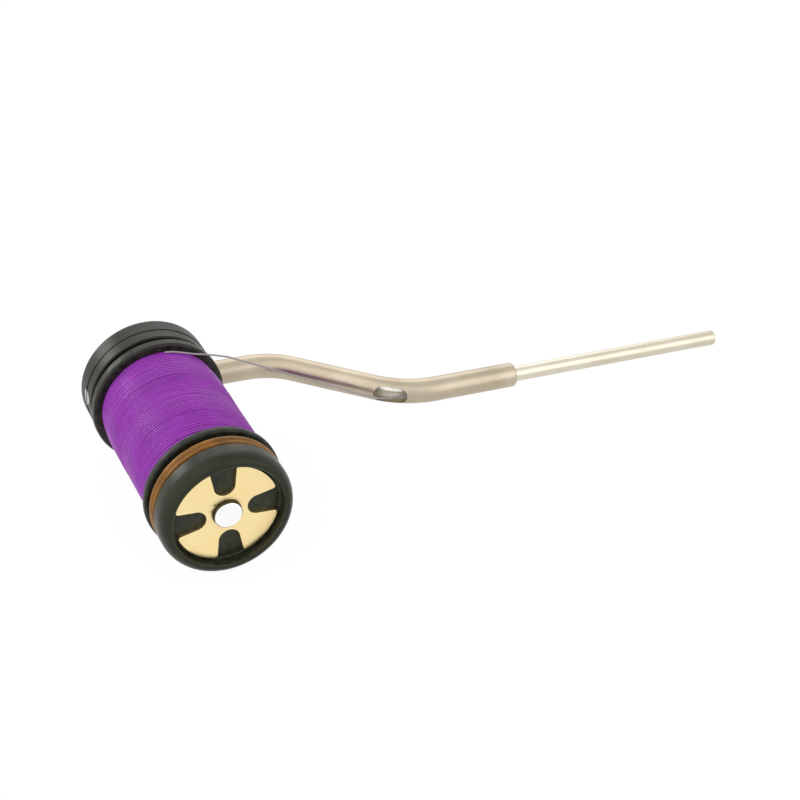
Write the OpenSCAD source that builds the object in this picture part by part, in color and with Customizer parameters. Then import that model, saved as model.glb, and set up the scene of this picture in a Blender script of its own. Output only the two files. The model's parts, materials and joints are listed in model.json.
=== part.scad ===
// Bobbin holder for fly tying: a thread spool on a fixed axle, a bent steel arm that carries the
// feed nozzle, and a screw-down drag knob. Millimetres. The spool lies along Y, knob at -Y,
// the arm leaves along +X and its nozzle tip rests on the ground plane z = 0.

/* [Spool and thread] */
// Length of the spool over both flanges
spool_len = 28; // [24:0.5:34]
// Radius of the spool flanges
flange_r = 11.3; // [9:0.05:12]
// Thickness of the flange next to the knob
front_flange_t = 1.3; // [0.8:0.1:2]
// Thickness of the flange next to the housing
rear_flange_t = 1.85; // [0.8:0.05:2.5]
// Radius of the spool barrel under the thread
barrel_r = 6; // [5:0.1:7.5]
// Depth of the wound thread's surface below the flanges, at the middle of the spool
wound_depth = 0.9; // [0.4:0.05:1.7]
// Diameter of one strand of the outer layer
strand_d = 0.45; // [0.3:0.01:0.5]
// Number of loops in the outer layer
strand_loops = 24; // [18:1:24]
// Diameter of the working thread that runs to the arm
thread_d = 0.3; // [0.3:0.01:0.5]

/* [Axle and drag] */
// Radius of the axle
axle_r = 2.3; // [1.8:0.05:2.6]
// Radial running clearance of the turning pieces on the axle
axle_fit = 0.06; // [0.03:0.01:0.1]
// Length of axle that stands proud of the brass plate
axle_proud = 0.8; // [0.2:0.1:1.2]
// Radius of the collar that the spool runs against
collar_r = 3.3; // [2.8:0.1:3.4]
// Thickness of the black steel pressure washer
washer_t = 0.3; // [0.2:0.05:0.35]
// Gap between the pressure washer's edge and the amber ring
washer_inset = 0.3; // [0.2:0.1:2]
// Distance of the felt washer's edge inside the front band's
felt_inset = 1.6; // [1:0.1:4]
// Radius of the washer that the disc springs press on
seat_r = 6; // [5:0.1:7]
// Thickness of the spring seat washer
seat_t = 0.5; // [0.3:0.05:0.6]
// Wall of a disc spring
spring_t = 0.4; // [0.3:0.05:0.5]

/* [Knob] */
// Distance that the spool's flanges stand out beyond the knob
knob_step = 0.3; // [0:0.05:1]
// Length of the knob along the axle
knob_len = 4.5; // [4.2:0.1:6]
// Radius of the rounded front edge of the knob
knob_edge = 1.6; // [0.8:0.1:2]
// Depth of the recess in the knob's face
recess_depth = 2.1; // [1.5:0.05:2.8]
// Thickness of the knob's floor
knob_floor = 1; // [0.8:0.1:1.4]
// Wall between the knob's side and the spring pocket in its back
pocket_wall = 2.8; // [2:0.1:4]
// Gap between the brass plate and the wall of the recess
plate_gap = 0.6; // [0.3:0.05:1.5]
// Thickness of the brass plate
plate_t = 0.75; // [0.5:0.05:1]
// Distance from the axle to the bottom of a plate notch
notch_in = 3.4; // [3:0.1:4.5]
// Width of a plate notch at its round bottom
notch_w = 3.5; // [2.6:0.1:4]
// Width of a plate notch at its mouth
notch_mouth = 4.5; // [3.6:0.1:5.5]
// Angle that the plate is turned to, from the arm's plane
plate_turn = 6; // [0:1:45]
// Section diameter of the amber ring's rear bead
ring_d = 1.5; // [1:0.05:1.8]
// Section diameter of the lip in front of the bead
lip_d = 0.7; // [0.4:0.05:0.9]
// Depth of the groove between the bead and the lip
ring_groove = 0.45; // [0.2:0.05:0.6]

/* [Housing] */
// Distance that the spool's flanges stand out beyond the rear cover
cover_step = 0.3; // [0:0.05:1]
// Thickness of the front band
band_t = 2.3; // [1.9:0.1:2.6]
// Length of the rear cover along the axle
cover_len = 3.3; // [3.1:0.05:4.5]
// Thickness of the rear cover's back wall
cover_back = 0.6; // [0.5:0.05:1]
// Thickness of the rear cover's round wall
cover_wall = 1.3; // [0.9:0.1:1.6]
// Rounding of the rear cover's edge
cover_edge = 0.8; // [0.3:0.1:1.2]
// Wall of the ring that the cover plugs onto
spigot_wall = 1.4; // [0.8:0.1:1.8]
// Radius of the clamp screw's head
screw_head_r = 1.3; // [1:0.05:1.5]
// Radius of the clamp screw's shank
screw_r = 0.7; // [0.5:0.05:0.9]

/* [Arm and nozzle] */
// Outer radius of the arm tube
arm_r = 2.1; // [1.8:0.05:2.3]
// Outer radius of the nozzle tube
nozzle_r = 1.325; // [1.1:0.005:1.5]
// Radius of the bore in the nozzle tube
nozzle_bore_r = 0.9; // [0.6:0.05:1]
// Distance from the axle to the arm's root
arm_root = 5.2; // [5:0.1:6]
// Distance from the axle to the corner of the first bend
first_corner = 21.8; // [19:0.1:26]
// Angle of both bends
bend_angle = 41; // [35:1:48]
// Radius of the first bend on the tube's centre line
first_bend_r = 11.5; // [9:0.5:13]
// Radius of the second bend on the tube's centre line
second_bend_r = 15; // [12:0.5:18]
// Length of the arm's straight end, beyond the second bend
arm_straight = 15; // [12:0.1:20]
// Length of nozzle tube that stands out of the arm
nozzle_free = 40.8; // [30:0.1:55]
// Length of nozzle tube held inside the arm
nozzle_held = 10.8; // [6:0.1:12]
// Offset of the nozzle line from the middle of the spool
nozzle_y = 2; // [1:0.1:3]
// Length of the thread slot in the second bend
slot_len = 5.8; // [4.5:0.1:7]
// Width of the thread slot
slot_w = 3.1; // [2:0.1:3.3]
// Radius of the cross pin that holds the arm's root
pin_r = 0.6; // [0.4:0.05:0.8]

/* [Hidden] */
$fn = 96;

// Overrun of every cut, and the gaps between pieces
over = 0.5;
joint_gap = 0.02;
run_gap = 0.1;
spool_gap = 0.15;
knob_travel = 0.5;
corner = 0.3;

// Radii that follow the spool's flanges
wound_r = flange_r - wound_depth;
knob_r = flange_r - knob_step;
cover_r = flange_r - cover_step;
recess_r = knob_r - knob_edge;
plate_r = recess_r - plate_gap;
pocket_r = knob_r - pocket_wall;
ring_in_r = knob_r - ring_d;
washer_r = ring_in_r - washer_inset;

// Places along the axle, from the middle of the spool
spool_front = -spool_len / 2;
spool_rear = spool_len / 2;
wound_front = spool_front + front_flange_t;
wound_rear = spool_rear - rear_flange_t;
wound_len = wound_rear - wound_front;
washer_y = spool_front - run_gap;
seat_y = washer_y - washer_t - run_gap;
ring_rear = spool_front - spool_gap - knob_travel;
ring_len = ring_d + lip_d;
knob_rear = ring_rear - ring_len - joint_gap;
knob_spigot = 1;
knob_front = knob_rear - knob_len;
floor_front = knob_front + recess_depth;
floor_rear = floor_front + knob_floor;
plate_front = floor_front - plate_t;
axle_front = plate_front - axle_proud;
felt_y = spool_rear + spool_gap;
felt_t = 1.1;
band_y = felt_y + felt_t;
cover_y = band_y + band_t;
cover_rear = cover_y + cover_len;
cover_inside = cover_rear - cover_back;

// Bushes, collar, nut and springs
bush_r = 3.85;
bush_flange_r = 5;
bush_flange_t = 0.6;
bush_len = 7;
nut_r = 4.1;
nut_room = 0.3;
lock_t = 0.4;
nut_t = cover_inside - cover_y - lock_t - nut_room;
lock_r = 3.8;
nut_gap = 0.03;
axle_tail = 0.2;
axle_chamfer = 0.15;
spring_play = 0.5;
spring_in_r = axle_r + spring_play;
spring_out_r = seat_r - corner;
spring_room = seat_y - seat_t - floor_rear;
spring_h = spring_room / 2 - joint_gap * 2;
knob_hole_r = axle_r + corner;

// Housing
band_step = 0.1;
band_r = cover_r - band_step;
felt_r = band_r - felt_inset;
saddle_wall = 1.3;
boss_wall = 0.4;
screw_len = 4;
spigot_r = cover_r - cover_wall - run_gap;
spigot_len = cover_len - cover_back - spigot_wall / 2;
saddle_half = arm_r + saddle_wall;
saddle_end = spigot_r - spigot_wall / 2;
arm_fit = 0.03;
pin_fit = 0.02;
pin_x = (arm_root + saddle_end) / 2;
screw_y = cover_y;
screw_head_t = 0.6;
screw_top = 0.1;
screw_end = cover_r - screw_len;
screw_boss = screw_head_r + boss_wall;
driver_w = 0.4;

// Arm centre line: out of the housing, a diagonal, then parallel to the first line again
arm_behind_seam = 0.4;
arm_y = cover_y + arm_behind_seam;
half_turn = tan(bend_angle / 2);
second_corner = first_corner + (arm_y - nozzle_y) / tan(bend_angle);
bend1_x = first_corner - first_bend_r * half_turn;
bend2_x = second_corner + second_bend_r * half_turn;
arm_end = bend2_x + arm_straight;
tip_x = arm_end + nozzle_free;
solder_gap = 0.025;
arm_bore_r = nozzle_r + solder_gap;
slot_share = 0.71;
slot_angle = bend_angle * slot_share;
slot_x = bend2_x - second_bend_r * sin(slot_angle);
slot_y = nozzle_y + second_bend_r * (1 - cos(slot_angle));
chamfer_share = 0.6;
arm_chamfer = (arm_r - arm_bore_r) * chamfer_share;
tip_round = 0.2;

// The holder lies on its widest round piece and on the nozzle's tip
rest_r = max(flange_r, knob_r, cover_r);
tilt = asin(rest_r / norm([tip_x, nozzle_r])) - atan(nozzle_r / tip_x);
reach = tip_x * cos(tilt) + nozzle_r * sin(tilt);
shift = [-(reach - rest_r) / 2, -(cover_rear + knob_front) / 2, rest_r];
echo(tilt = tilt, shift = shift, reach = reach, slot = [slot_x, slot_y]);

module placed() {
    translate(shift) rotate([0, tilt, 0]) children();
}

// A turned piece about the axle: its profile starts at y and runs back, towards +Y
module turned(y) {
    translate([0, y, 0]) rotate([-90, 0, 0]) rotate_extrude() children();
}

module turned_front(y) {
    translate([0, y, 0]) rotate([90, 0, 0]) rotate_extrude() children();
}

module washer(y, t, outer, inner) {
    turned(y) translate([inner, 0]) square([outer - inner, t]);
}

// Half section of a disc with one rounded outer edge at its far end
module rounded_disc(r, len, edge) {
    square([r - edge, len]);
    square([r, len - edge]);
    translate([r - edge, len - edge]) circle(edge);
}

// Spool: a barrel between two flanges, with a counterbore for a bush at each end
module spool() {
    color("#33332b") placed() turned(spool_front) difference() {
        union() {
            square([barrel_r, spool_len]);
            flange_section(front_flange_t);
            translate([0, spool_len - rear_flange_t]) flange_section(rear_flange_t);
        }
        translate([0, -over]) square([bush_r + joint_gap, spool_len + 2 * over]);
        translate([0, -over]) square([bush_flange_r + joint_gap, bush_flange_t + over]);
        translate([0, spool_len - bush_flange_t]) square([bush_flange_r + joint_gap, bush_flange_t + over]);
    }
}

module flange_section(t) {
    square([flange_r - corner, t]);
    translate([0, corner]) square([flange_r, t - 2 * corner]);
    translate([flange_r - corner, corner]) circle(corner);
    translate([flange_r - corner, t - corner]) circle(corner);
}

// The wound thread is full at the middle and falls away towards both flanges
end_share = 0.965;
fall_share = 0.22;
function wound_share(u) =
    let (edge = min(u, 1 - u) / fall_share)
    edge >= 1 ? 1 : 1 - (1 - end_share) * (1 - edge) * (1 - edge);
strand_lift = 0.12;
core_r = wound_r - strand_d - strand_lift;
core_steps = 24;

module thread_core() {
    color("#7b2a8c") placed() turned(wound_front + joint_gap) polygon(concat(
        [[barrel_r + joint_gap, wound_len - 2 * joint_gap], [barrel_r + joint_gap, 0]],
        [for (i = [0 : core_steps]) let (u = i / core_steps)
            [core_r * wound_share(u), u * (wound_len - 2 * joint_gap)]]));
}

// Outer layer: one unbroken strand laid in loops over the core, both ends running off straight
strand_rings = 24;
strand_sides = 6;
strand_margin = strand_d;
strand_run = wound_len - 2 * strand_margin;
strand_steps = strand_loops * strand_rings;
function strand_place(i) =
    let (u = i / strand_steps, a = i * 360 / strand_rings,
         y = strand_margin + u * strand_run,
         r = core_r * wound_share(y / wound_len) + strand_lift + strand_d / 2)
    [r * cos(a), wound_front + y, r * sin(a)];
function step_dir(a, b) = (b - a) / norm(b - a);
strand_first = strand_place(0) - strand_d * step_dir(strand_place(0), strand_place(1));
strand_last = strand_place(strand_steps)
    + strand_d * step_dir(strand_place(strand_steps - 1), strand_place(strand_steps));
strand_path = concat([strand_first], [for (i = [0 : strand_steps]) strand_place(i)], [strand_last]);
strand_gap = min([for (i = [0 : strand_steps - strand_rings + 1]) for (j = [-2 : 2])
    let (k = i + strand_rings + j) k <= strand_steps + 2 && k - i > 3
        ? norm(strand_path[k] - strand_path[i]) : wound_len]) - strand_d;
echo(least_gap_between_loops = strand_gap);

// A tube swept along a path, its sides facing away from the hub point
function sweep_ring(path, i, hub, r, sides) =
    let (last = len(path) - 1,
         along = step_dir(path[max(i - 1, 0)], path[min(i + 1, last)]),
         away = path[i] - hub(path[i]),
         side = cross(along, away) / norm(cross(along, away)),
         up = cross(side, along))
    [for (s = [0 : sides - 1]) path[i] + r * (cos(s * 360 / sides) * side + sin(s * 360 / sides) * up)];
down = [0, 0, -1];
module swept_tube(path, hub, radii, sides) {
    rings = len(path);
    points = [for (i = [0 : rings - 1]) each
        sweep_ring(path, i, hub, is_list(radii) ? radii[i] : radii, sides)];
    skin = [for (i = [0 : rings - 2]) for (s = [0 : sides - 1])
        let (a = i * sides + s, b = i * sides + (s + 1) % sides) each
        [[a, b, a + sides], [b, b + sides, a + sides]]];
    front_cap = [for (s = [1 : sides - 2]) [0, s + 1, s]];
    far = (rings - 1) * sides;
    back_cap = [for (s = [1 : sides - 2]) [far, far + s, far + s + 1]];
    polyhedron(points, concat(skin, front_cap, back_cap));
}

module thread_outer_layer() {
    color("#a045b4") placed()
        swept_tube(strand_path, function (p) [0, p[1], 0], strand_d / 2, strand_sides);
}

// Bushes: flanged sleeves pressed into the spool, running on the axle
module bush() {
    difference() {
        union() {
            square([bush_r, bush_len]);
            square([bush_flange_r, bush_flange_t]);
        }
        translate([0, -over]) square([axle_r + axle_fit, bush_len + 2 * over]);
    }
}

module front_bush() {
    color("#e6e2d4") placed() turned(spool_front) bush();
}

module rear_bush() {
    color("#e6e2d4") placed() turned_front(spool_rear) bush();
}

// Axle: a steel rod with a collar behind the spool
module axle() {
    shaft = cover_inside - axle_tail - axle_front;
    color("#c9c9c4") placed() union() {
        turned(axle_front) difference() {
            square([axle_r, shaft]);
            polygon([[axle_r - axle_chamfer, -over], [axle_r - axle_chamfer, 0],
                     [axle_r, axle_chamfer], [axle_r + over, axle_chamfer], [axle_r + over, -over]]);
        }
        turned(felt_y) square([collar_r, felt_t]);
    }
}

module axle_nut() {
    color("#b8b8b2") placed() translate([0, cover_y + lock_t, 0]) rotate([-90, 0, 0]) difference() {
        cylinder(h = nut_t, r = nut_r, $fn = 6);
        translate([0, 0, -over]) cylinder(h = nut_t + 2 * over, r = axle_r + nut_gap);
    }
}

module lock_washer() {
    color("#8e8e88") placed() washer(cover_y, lock_t, lock_r, axle_r + nut_gap);
}

module felt_washer() {
    color("#1c1b18") placed() washer(felt_y, felt_t, felt_r, collar_r + run_gap);
}

module pressure_washer() {
    color("#22211e") placed() washer(washer_y - washer_t, washer_t, washer_r, axle_r + nut_gap);
}

module spring_seat() {
    color("#9a9a94") placed() washer(seat_y - seat_t, seat_t, seat_r, axle_r + axle_fit);
}

// Two disc springs, set rim to rim between the seat and the knob's floor
module disc_springs() {
    color("#70706c") placed() {
        turned(floor_rear + joint_gap) disc_section();
        turned_front(seat_y - seat_t - joint_gap) disc_section();
    }
}

module disc_section() {
    polygon([[spring_in_r, 0], [spring_in_r, spring_t],
             [spring_out_r, spring_h], [spring_out_r, spring_h - spring_t]]);
}

// Knob: a cap with a rounded front edge, a recess for the plate, a pocket for the springs
// and a spigot that carries the ring
module front_knob() {
    color("#3c3e32") placed() turned_front(knob_rear) difference() {
        union() {
            rounded_disc(knob_r, knob_len, knob_edge);
            translate([0, -knob_spigot]) square([ring_in_r - joint_gap, knob_spigot + corner]);
        }
        translate([0, knob_len - recess_depth]) square([recess_r, recess_depth + over]);
        translate([0, -knob_spigot - over]) square([pocket_r, knob_rear - floor_rear + knob_spigot + over]);
        square([knob_hole_r, knob_len]);
    }
}

// Ring on the knob's spigot: a wide bead, a groove and a thin lip against the knob
module amber_ring() {
    color("#a86a28") placed() turned(ring_rear - ring_len) {
        translate([knob_r - ring_d / 2, ring_len - ring_d / 2]) circle(ring_d / 2);
        translate([knob_r - lip_d / 2, lip_d / 2]) circle(lip_d / 2);
        translate([ring_in_r, 0]) square([ring_d - ring_groove, ring_len - ring_d / 2]);
    }
}

// Brass plate: a disc with four round-bottomed notches, threaded on the axle
module brass_plate() {
    color("#e9c987") placed() translate([0, floor_front, 0]) rotate([90, 0, 0])
        linear_extrude(height = plate_t) difference() {
            circle(plate_r);
            circle(axle_r + axle_fit);
            for (a = [0 : 90 : 270]) rotate(a + plate_turn) notch();
        }
}

module notch() {
    centre = notch_in + notch_w / 2;
    translate([centre, 0]) circle(notch_w / 2);
    polygon([[centre, -notch_w / 2], [plate_r + over, -notch_mouth / 2],
             [plate_r + over, notch_mouth / 2], [centre, notch_w / 2]]);
}

// Cutter along the arm's root line, from x0 outwards
module along_x(x0, len, r, y) {
    translate([x0, y, 0]) rotate([0, 90, 0]) cylinder(h = len, r = r);
}

// Housing body: front band, spigot ring for the cover, saddle for the arm, boss for the screw
module housing_body() {
    reach_x = cover_r + over;
    color("#4a4b44") placed() difference() {
        union() {
            turned_front(cover_y) rounded_disc(band_r, band_t, corner);
            washer(cover_y, spigot_len, spigot_r, spigot_r - spigot_wall);
            translate([arm_root - corner, cover_y - corner, -saddle_half])
                cube([saddle_end - arm_root + corner, spigot_len + corner, 2 * saddle_half]);
            translate([-saddle_end, cover_y - corner, -screw_boss])
                cube([saddle_end - screw_end + corner, screw_boss + corner, 2 * screw_boss]);
        }
        washer(cover_y - band_t - over, band_t + 2 * over, axle_r + nut_gap, 0);
        along_x(arm_root - corner - over, reach_x, arm_r + arm_fit, arm_y);
        along_x(-reach_x, reach_x - screw_end + over, screw_r + arm_fit, screw_y);
        along_x(-reach_x, reach_x - cover_r + screw_head_t + screw_top + joint_gap,
            screw_head_r + arm_fit, screw_y);
        translate([pin_x, arm_y, -saddle_half - over])
            cylinder(h = 2 * saddle_half + 2 * over, r = pin_r + pin_fit);
    }
}

// Rear cover: a shallow cup with a half-round mouth for the arm and one for the screw
module rear_cover() {
    reach_x = cover_r + over;
    color("#3e3f38") placed() difference() {
        turned(cover_y + joint_gap) difference() {
            rounded_disc(cover_r, cover_len - joint_gap, cover_edge);
            translate([0, -over]) square([cover_r - cover_wall, cover_len - cover_back - joint_gap + over]);
        }
        along_x(arm_root - over, reach_x, arm_r + arm_fit + joint_gap, arm_y);
        along_x(-reach_x, reach_x - screw_end, screw_r + arm_fit, screw_y);
        along_x(-reach_x, reach_x - cover_r + screw_head_t + screw_top + joint_gap,
            screw_head_r + arm_fit, screw_y);
    }
}

module clamp_screw() {
    color("#d8d8d2") placed() difference() {
        union() {
            along_x(-cover_r + screw_top, screw_head_t, screw_head_r, screw_y);
            along_x(-cover_r + screw_top, cover_r - screw_top - screw_end, screw_r, screw_y);
        }
        translate([-cover_r + screw_top - over, screw_y - driver_w / 2, -screw_head_r - over])
            cube([over + screw_head_t / 2, driver_w, 2 * (screw_head_r + over)]);
    }
}

// The arm's centre line, each end moved out by extra, with both bends as arcs
arm_sides = 28;
bend_steps = 9;
function bend_points(centre, bend_r, from, to) =
    [for (i = [0 : bend_steps]) let (a = from + (to - from) * i / bend_steps)
        [centre[0] + bend_r * cos(a), centre[1] + bend_r * sin(a), 0]];
function arm_line(extra) = concat(
    [[arm_root - extra, arm_y, 0]],
    bend_points([bend1_x, arm_y - first_bend_r], first_bend_r, 90, 90 - bend_angle),
    bend_points([bend2_x, nozzle_y + second_bend_r], second_bend_r, 270 - bend_angle, 270),
    [[arm_end - arm_chamfer, nozzle_y, 0], [arm_end + extra, nozzle_y, 0]]);

module slot_cut() {
    run = slot_len - slot_w;
    translate([slot_x, slot_y, 0]) rotate([0, 0, -slot_angle]) rotate([90, 0, 0]) {
        translate([-run / 2, 0, 0]) cylinder(h = arm_r + over, r = slot_w / 2);
        translate([run / 2, 0, 0]) cylinder(h = arm_r + over, r = slot_w / 2);
        translate([-run / 2, -slot_w / 2, 0]) cube([run, slot_w, arm_r + over]);
    }
}

module arm_tube() {
    last = len(arm_line(0)) - 1;
    radii = [for (i = [0 : last]) i == last ? arm_r - arm_chamfer : arm_r];
    color("#bfb6a2") placed() difference() {
        swept_tube(arm_line(0), function (p) p + down, radii, arm_sides);
        swept_tube(arm_line(over), function (p) p + down, arm_bore_r, arm_sides);
        slot_cut();
        translate([pin_x, arm_y, -saddle_half]) cylinder(h = 2 * saddle_half, r = pin_r + pin_fit);
    }
}

module arm_pin() {
    color("#b0b0aa") placed() translate([pin_x, arm_y, -saddle_half])
        cylinder(h = 2 * saddle_half, r = pin_r);
}

// Nozzle: a thin tube soldered into the arm's end, its tip rounded off
module nozzle_tube() {
    len = tip_x - arm_end + nozzle_held;
    color("#c8bea8") placed() translate([arm_end - nozzle_held, nozzle_y, 0]) rotate([0, 90, 0])
        rotate_extrude() difference() {
            rounded_disc(nozzle_r, len, tip_round);
            translate([0, -over]) square([nozzle_bore_r, len + 2 * over]);
        }
}

// The working thread: off the top of the spool, through the air to the slot and on into the arm
thread_route = [[0.4, 11.2, 10.4], [1.6, 11.2, 10.25], [2.8, 11.1, 10], [4.1, 11.1, 9.6], [5.5, 11, 9.2],
                [7.1, 10.9, 8.9], [9, 10.5, 8.6], [11, 10, 8.2], [14.4, 9, 7], [17.8, 8, 5.8],
                [21.2, 6.9, 4.6], [24.6, 5.9, 3.4], [28, 4.9, 2.2], [31.3, 3.9, 1], [34.4, 3.1, -0.1],
                [36.1, 2.8, -0.5], [38.2, 2.4, -0.5], [40.2, 2.2, -0.3], [42.2, 2.1, -0.1],
                [44.6, 2, 0], [47, 2, 0], [49.4, 2, 0]];

// The route was laid for these places; where a size moves them, its two ends move with them
laid_wound_r = 10.4;
laid_wound_rear = 12.15;
laid_slot = [38.46, 3.89];
leaves_at = 5.5;
enters_at = 36.1;
function ride(p) =
    let (near = max(0, min(1, (enters_at - p[0]) / (enters_at - leaves_at))),
         grow = 1 + near * (wound_r / laid_wound_r - 1))
    [p[0] * grow + (1 - near) * (slot_x - laid_slot[0]),
     p[1] + near * (wound_rear - laid_wound_rear) + (1 - near) * (slot_y - laid_slot[1]),
     p[2] * grow];
thread_sides = 8;
module thread_run() {
    color("#a045b4") placed()
        swept_tube([for (p = thread_route) ride(p)], function (p) p + down, thread_d / 2, thread_sides);
}

spool();
thread_core();
thread_outer_layer();
front_bush();
rear_bush();
axle();
axle_nut();
lock_washer();
felt_washer();
pressure_washer();
spring_seat();
disc_springs();
front_knob();
brass_plate();
amber_ring();
housing_body();
rear_cover();
clamp_screw();
arm_tube();
arm_pin();
nozzle_tube();
thread_run();
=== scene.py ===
"""Bobbin holder for fly tying: the finishes and the fine shapes, set on the CAD frame.

The holder lies on its round ends and its nozzle tip. Lengths named here are millimetres, along the
axle (y) and in the plane of the arm (x, z); place() turns them into metres in the frame of the part.
Typed values have names in capitals; values read from the frame or worked out have small letters.
"""
import json
import math

import bmesh
import bpy
from mathutils import Matrix, Vector


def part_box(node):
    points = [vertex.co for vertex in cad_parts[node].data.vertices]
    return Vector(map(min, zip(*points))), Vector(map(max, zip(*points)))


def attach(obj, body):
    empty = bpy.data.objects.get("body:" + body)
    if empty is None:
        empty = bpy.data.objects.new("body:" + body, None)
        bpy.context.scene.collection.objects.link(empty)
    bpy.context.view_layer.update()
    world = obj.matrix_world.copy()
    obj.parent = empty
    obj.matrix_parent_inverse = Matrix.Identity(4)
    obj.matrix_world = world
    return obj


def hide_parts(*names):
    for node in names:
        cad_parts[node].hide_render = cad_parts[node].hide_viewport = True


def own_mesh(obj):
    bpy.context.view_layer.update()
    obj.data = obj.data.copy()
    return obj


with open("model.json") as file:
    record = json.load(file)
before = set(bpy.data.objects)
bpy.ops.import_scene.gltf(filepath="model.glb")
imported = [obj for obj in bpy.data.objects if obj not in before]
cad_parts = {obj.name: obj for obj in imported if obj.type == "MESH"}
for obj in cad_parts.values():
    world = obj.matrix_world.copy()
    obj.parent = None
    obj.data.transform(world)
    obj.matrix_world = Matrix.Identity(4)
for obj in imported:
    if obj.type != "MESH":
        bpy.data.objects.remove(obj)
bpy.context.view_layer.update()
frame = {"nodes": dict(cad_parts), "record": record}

MM = 0.001
TAU = 2 * math.pi

# Where the holder lies: the axle's middle, and the slope of the nozzle
knob_low, knob_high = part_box("front_knob")
spool_low, spool_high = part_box("spool")
nozzle_bore = next(m for m in frame["record"]["mounts"] if m["name"] == "nozzle_bore")
tilt = math.atan2(-nozzle_bore["axis"][2], nozzle_bore["axis"][0])
axle_middle = Vector(((knob_low.x + knob_high.x) / 2, (spool_low.y + spool_high.y) / 2,
                      (knob_low.z + knob_high.z) / 2))
holder_matrix = Matrix.Translation(axle_middle) @ Matrix.Rotation(tilt, 4, "Y")


def place(x, y, z):
    """A point given in millimetres from the middle of the spool, in metres in the part's frame."""
    return holder_matrix @ (Vector((x, y, z)) * MM)


def along(node):
    """First and last place of a node along the axle, in millimetres from the spool's middle."""
    low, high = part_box(node)
    return (low.y - axle_middle.y) / MM, (high.y - axle_middle.y) / MM


def radius(node):
    """Radius, in millimetres, of a node that is round about the axle."""
    low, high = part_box(node)
    return (high.z - low.z) / 2 / MM


# Places along the axle, and the sizes that several pieces share
knob_front, spigot_rear = along("front_knob")
spool_front, spool_rear = along("spool")
plate_front, plate_rear = along("brass_plate")
spring_front, spring_rear = along("disc_springs")
axle_front, axle_rear = along("axle")
wound_front, wound_rear = along("thread_core")
knob_r = radius("front_knob")
flange_r = radius("spool")
plate_r = radius("brass_plate")
AXLE_R = 2.3
BARREL_R = 6.0
WOUND_R = 10.4


def add_object(name, data):
    obj = bpy.data.objects.new(name, data)
    bpy.context.scene.collection.objects.link(obj)
    return obj


# Camera: the viewing point of the photograph, straight lens, no shift
CAMERA_PLACE = Vector((-117.06, -250.67, 204.16))
CAMERA_RIGHT = Vector((0.91121, -0.41168, -0.01438))
CAMERA_BACK = Vector((-0.32716, -0.74446, 0.58202))
LENS_MM = 90
SENSOR_MM = 36
NEAREST_SEEN = 10


def make_camera():
    data = bpy.data.cameras.new("camera")
    data.lens = LENS_MM
    data.sensor_width = SENSOR_MM
    data.clip_start = NEAREST_SEEN * MM
    camera = add_object("camera", data)
    back = CAMERA_BACK.normalized()
    right = (CAMERA_RIGHT - CAMERA_RIGHT.dot(back) * back).normalized()
    turn = Matrix((right, back.cross(right), back)).transposed().to_4x4()
    camera.matrix_world = Matrix.Translation(CAMERA_PLACE * MM) @ turn
    bpy.context.scene.camera = camera


make_camera()


# Colours and node trees
def tone(code):
    """Linear colour of a six-digit screen colour."""
    parts = [int(code[i:i + 2], 16) / 255 for i in (0, 2, 4)]
    return tuple(p / 12.92 if p <= 0.04045 else ((p + 0.055) / 1.055) ** 2.4 for p in parts) + (1.0,)


class Value:
    """A socket that can be used in sums: each operator adds a Math node."""

    def __init__(self, net, socket):
        self.net = net
        self.socket = socket

    def beside(self, name):
        """Another output of the same node."""
        return Value(self.net, self.socket.node.outputs[name])

    def math(self, operation, *others):
        return self.net.math(operation, self, *others)

    def __add__(self, other):
        return self.math("ADD", other)

    def __sub__(self, other):
        return self.math("SUBTRACT", other)

    def __rsub__(self, other):
        return self.net.math("SUBTRACT", other, self)

    def __mul__(self, other):
        return self.math("MULTIPLY", other)

    def __truediv__(self, other):
        return self.math("DIVIDE", other)

    __radd__ = __add__
    __rmul__ = __mul__

    def clamp(self):
        return self.net.node("ShaderNodeClamp", {0: self})

    def spread(self, low, high):
        """The value stretched so that low gives 0 and high gives 1, and held there beyond them."""
        return ((self - low) * (1 / (high - low))).clamp()


class Net:
    """Adds nodes to a tree: settings first, then the values or links of the inputs."""

    def __init__(self, tree):
        self.tree = tree

    def node(self, kind, inputs=None, out=0, **settings):
        """Adds a node and returns one of its outputs, where it has any."""
        made = self.tree.nodes.new(kind)
        for name, value in settings.items():
            setattr(made, name, value)
        for key, value in (inputs or {}).items():
            self.feed(made.inputs[key], value)
        return Value(self, made.outputs[out]) if made.outputs else None

    def feed(self, socket, value):
        if isinstance(value, Value):
            self.tree.links.new(value.socket, socket)
        else:
            socket.default_value = value

    def math(self, operation, *values):
        return self.node("ShaderNodeMath", dict(enumerate(values)), operation=operation)

    def mix(self, factor, a, b):
        return self.node("ShaderNodeMix", {0: factor, 6: a, 7: b}, out=2, data_type="RGBA")


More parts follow.
